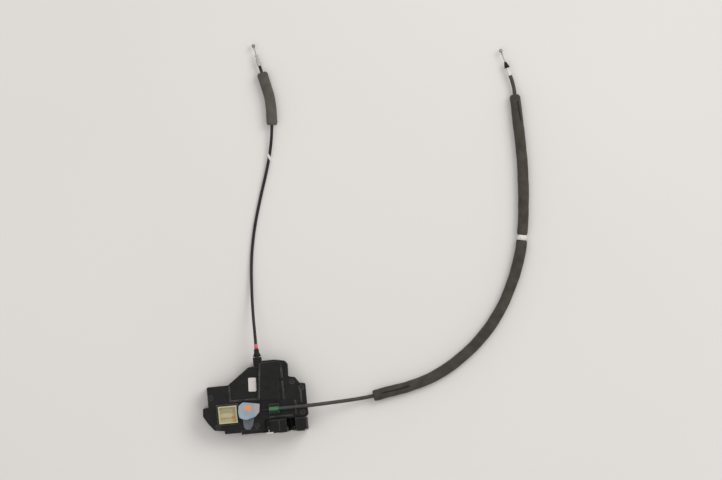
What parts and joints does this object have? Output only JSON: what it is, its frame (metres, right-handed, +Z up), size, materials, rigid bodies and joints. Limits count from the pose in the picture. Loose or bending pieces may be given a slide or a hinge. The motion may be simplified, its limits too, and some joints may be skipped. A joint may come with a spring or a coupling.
{
  "type": "vehicle door latch",
  "caption": "Front door latch with a slotted face plate, lock actuator casing, electrical socket and two long pull cables in foam sleeves.",
  "frame": {"origin": "under the middle of the latch without its cables, on the surface it lies on", "axes": "+X along the face plate towards the striker's slot, +Y away from the face plate, +Z up from the surface it lies on"},
  "size_m": [0.5539, 0.6228, 0.0539],
  "materials": {
    "black_plastic": "fine grain",
    "zinc_plated_steel": "satin",
    "spring_steel": "drawn",
    "hardened_steel": "satin",
    "black_coating": "smooth",
    "black_coated_steel": "satin",
    "bumper_rubber": "matte",
    "motor_steel": "drawn",
    "white_plastic": "smooth",
    "natural_plastic": "smooth",
    "grey_plastic": "smooth",
    "blue_grey_plastic": "smooth",
    "cream_plastic": "smooth",
    "green_plastic": "smooth",
    "boot_rubber": "matte",
    "tinned_brass": "satin",
    "black_sheath": "smooth",
    "green_grey_sheath": "smooth",
    "open_cell_foam": "porous",
    "galvanised_wire": "drawn"
  },
  "bodies": {
    "casing": {"base_housing": "black_plastic", "cover": "black_plastic", "case_screws": "black_coated_steel", "latch_housing": "black_plastic", "striker_bumper": "bumper_rubber", "face_plate": "zinc_plated_steel", "back_plate": "black_coated_steel", "claw_pin": "hardened_steel", "pawl_pin": "hardened_steel", "claw_spring": "spring_steel", "pawl_spring": "spring_steel", "motor_can": "motor_steel", "motor_end_cap": "white_plastic", "motor_terminals": "tinned_brass", "wheel_axle": "hardened_steel", "lock_axle": "hardened_steel", "inside_lever_axle": "hardened_steel", "inside_cable_ferrule": "boot_rubber", "outside_cable_ferrule": "green_plastic", "connector": "cream_plastic", "connector_blades": "tinned_brass", "contact_carrier": "natural_plastic", "position_switch": "black_coating", "switch_button": "white_plastic", "inside_conduit": "black_sheath", "outside_conduit": "green_grey_sheath", "inside_foam": "open_cell_foam", "lower_foam": "open_cell_foam", "upper_foam": "open_cell_foam", "inside_end_fitting": "white_plastic", "outside_end_fitting": "white_plastic", "outside_end_seal": "boot_rubber"},
    "claw": {"claw": "hardened_steel", "claw_coat": "black_coating"},
    "pawl": {"pawl": "hardened_steel"},
    "worm_shaft": {"worm": "hardened_steel"},
    "wheel": {"worm_wheel": "natural_plastic"},
    "lock": {"lock_lever": "natural_plastic"},
    "outside_release": {"outside_lever": "grey_plastic", "outside_lever_shaft": "hardened_steel", "cable_cap": "blue_grey_plastic"},
    "outside_near_wire": {"outside_wire": "galvanised_wire"},
    "outside_far_wire": {"outside_pull_wire": "galvanised_wire"},
    "inside_release": {"inside_lever": "zinc_plated_steel"},
    "inside_near_wire": {"inside_wire": "galvanised_wire"},
    "inside_far_wire": {"inside_pull_wire": "galvanised_wire"}
  },
  "joints": [
    {"name": "claw_turn", "type": "hinge", "parent": "casing", "child": "claw", "pos_m": [0.04, -0.0556, 0.025], "axis": [0, 1, 0], "range_deg": [0, 50]},
    {"name": "pawl_turn", "type": "hinge", "parent": "casing", "child": "pawl", "pos_m": [0.071, -0.0556, 0.015], "axis": [0, 1, 0], "range_deg": [0, 23]},
    {"name": "worm_turn", "type": "hinge", "parent": "casing", "child": "worm_shaft", "pos_m": [0.03, 0.016, 0.014], "axis": [0, 1, 0], "range_deg": [-2700, 0]},
    {"name": "wheel_turn", "type": "hinge", "parent": "casing", "child": "wheel", "pos_m": [0.011, 0.014, 0.014], "axis": [0, 0, 1], "range_deg": [0, 90]},
    {"name": "lock_turn", "type": "hinge", "parent": "casing", "child": "lock", "pos_m": [-0.0166, 0.014, 0.019], "axis": [0, 0, 1], "range_deg": [-25, 0]},
    {"name": "outside_release_turn", "type": "hinge", "parent": "casing", "child": "outside_release", "pos_m": [-0.0135, -0.0464, 0.035], "axis": [0, 0, -1], "range_deg": [0, 18]},
    {"name": "outside_near_slide", "type": "slide", "parent": "casing", "child": "outside_near_wire", "axis": [1, 0, 0], "range_m": [0, 0.0077]},
    {"name": "outside_far_slide", "type": "slide", "parent": "casing", "child": "outside_far_wire", "axis": [-0.268, 0.9634, 0], "range_m": [0, 0.0077]},
    {"name": "inside_release_turn", "type": "hinge", "parent": "casing", "child": "inside_release", "pos_m": [-0.004, 0.033, 0.025], "axis": [0, 0, 1], "range_deg": [0, 30]},
    {"name": "inside_near_slide", "type": "slide", "parent": "casing", "child": "inside_near_wire", "axis": [-0.027, 0.9996, 0], "range_m": [0, 0.0083]},
    {"name": "inside_far_slide", "type": "slide", "parent": "casing", "child": "inside_far_wire", "axis": [-0.207, 0.9783, 0], "range_m": [0, 0.0083]}
  ],
  "couplings": [
    {"joint": "worm_turn", "follows": "wheel_turn", "ratio": -30},
    {"joint": "lock_turn", "follows": "wheel_turn", "ratio": -0.27778},
    {"joint": "outside_near_slide", "follows": "outside_release_turn", "m_per_rad": 0.0241},
    {"joint": "outside_far_slide", "follows": "outside_release_turn", "m_per_rad": 0.0241},
    {"joint": "inside_near_slide", "follows": "inside_release_turn", "m_per_rad": 0.0156},
    {"joint": "inside_far_slide", "follows": "inside_release_turn", "m_per_rad": 0.0156}
  ]
}
